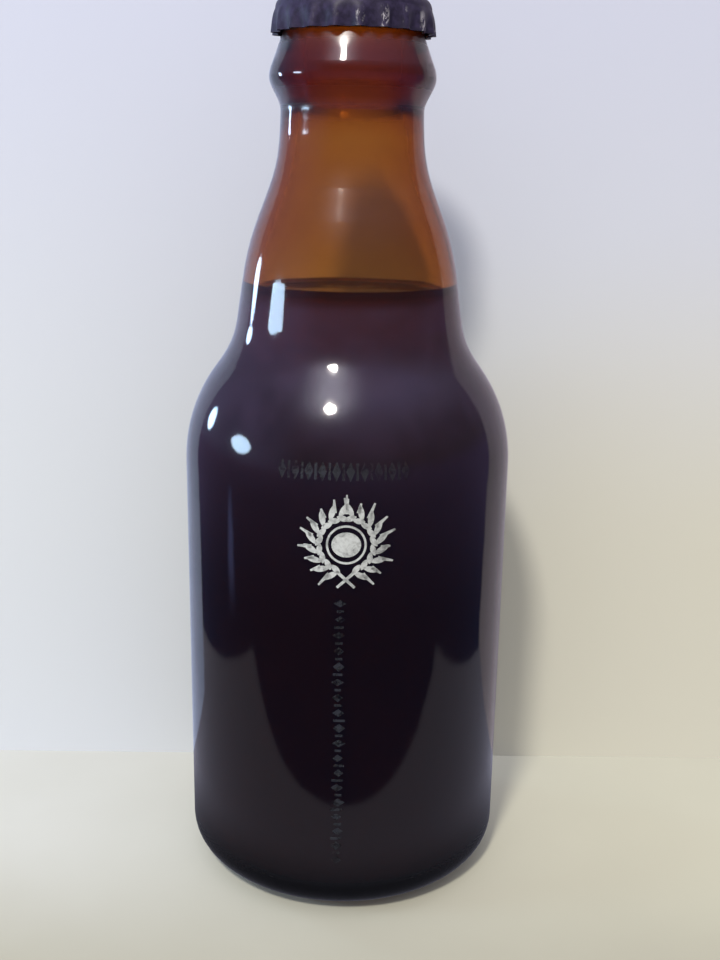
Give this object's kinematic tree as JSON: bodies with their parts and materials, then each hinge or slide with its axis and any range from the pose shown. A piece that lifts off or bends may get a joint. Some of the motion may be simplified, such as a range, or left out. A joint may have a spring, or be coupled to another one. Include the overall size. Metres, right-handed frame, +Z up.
{
  "type": "beer bottle",
  "caption": "Short amber glass beer bottle with rounded shoulders and a swelling neck, filled with dark beer and closed with a crown cap.",
  "frame": {"origin": "centre of the standing ring, at the lowest point of the base", "axes": "+Z up along the bottle's axis, towards the crown; -Y is the side with the printed emblem"},
  "size_m": [0.061, 0.061, 0.1617],
  "materials": {
    "amber_glass": "clear brown glass, fire polished",
    "dark_beer": "dark liquid",
    "lacquered_steel": "dark blue-black lacquer on pressed steel, scuffed",
    "white_enamel": "screen printed enamel, worn"
  },
  "bodies": {
    "root": {"glass_bottle": "amber_glass", "beer": "dark_beer", "crown_cap": "lacquered_steel"}
  },
  "joints": []
}
